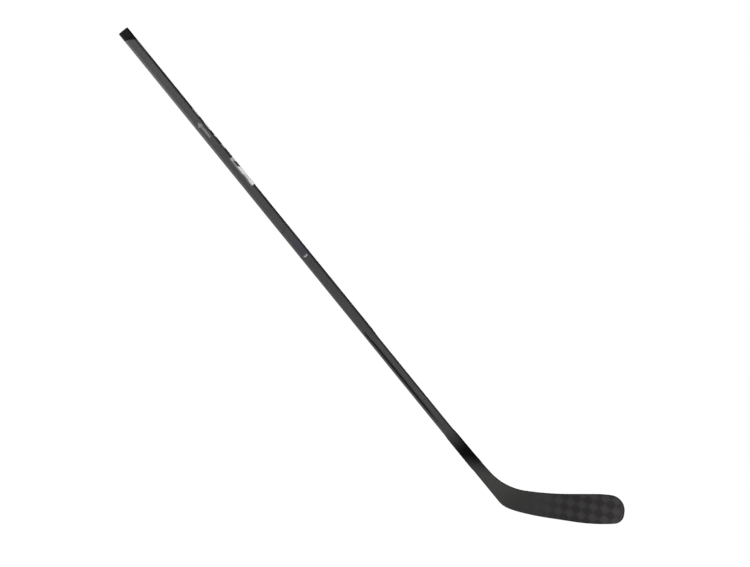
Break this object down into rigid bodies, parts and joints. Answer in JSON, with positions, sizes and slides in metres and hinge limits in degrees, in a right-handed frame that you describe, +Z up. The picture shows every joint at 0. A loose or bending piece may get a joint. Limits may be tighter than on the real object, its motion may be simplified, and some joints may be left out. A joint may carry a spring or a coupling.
{
  "type": "ice hockey stick",
  "caption": "Composite ice hockey stick: hollow rectangular shaft with a butt plug, bonded to a curved, foam-cored blade with a round toe.",
  "frame": {"origin": "on the flat of the sole, under the blade, with the stick in its playing stance", "axes": "+X from the heel to the toe along the ice; -Y is the way the forehand face looks; +Z up, away from the ice; the shaft rises towards -X at 42.4 degrees"},
  "size_m": [1.424, 0.0386, 1.0568],
  "materials": {
    "shaft_carbon": "satin, fine fibre texture over carbon fibre laminate",
    "plug_plastic": "matte moulded plastic",
    "sleeve_wrap": "satin black laminate wrap",
    "tenon_composite": "raw composite",
    "blade_carbon": "satin spread-tow carbon weave",
    "edge_carbon": "satin wrapped carbon edge",
    "core_foam": "rigid closed-cell foam",
    "bridge_carbon": "raw carbon laminate",
    "label_white": "printed film",
    "label_grey": "printed film",
    "label_blue_black": "printed film",
    "label_dark": "printed film"
  },
  "bodies": {
    "root": {"shaft_tube": "shaft_carbon", "butt_end_plug": "plug_plastic", "fusion_sleeve": "sleeve_wrap", "tenon_insert": "tenon_composite", "forehand_laminate": "blade_carbon", "backhand_laminate": "blade_carbon", "blade_edge_rim": "edge_carbon", "heel_core": "core_foam", "lower_foam_core": "core_foam", "upper_foam_core": "core_foam", "core_bridge": "bridge_carbon", "forehand_emblem": "label_grey", "backhand_emblem": "label_grey", "forehand_band": "label_blue_black", "backhand_band": "label_blue_black", "edge_panel": "label_white", "edge_bar_label": "label_dark", "spec_label": "label_grey"}
  },
  "joints": []
}
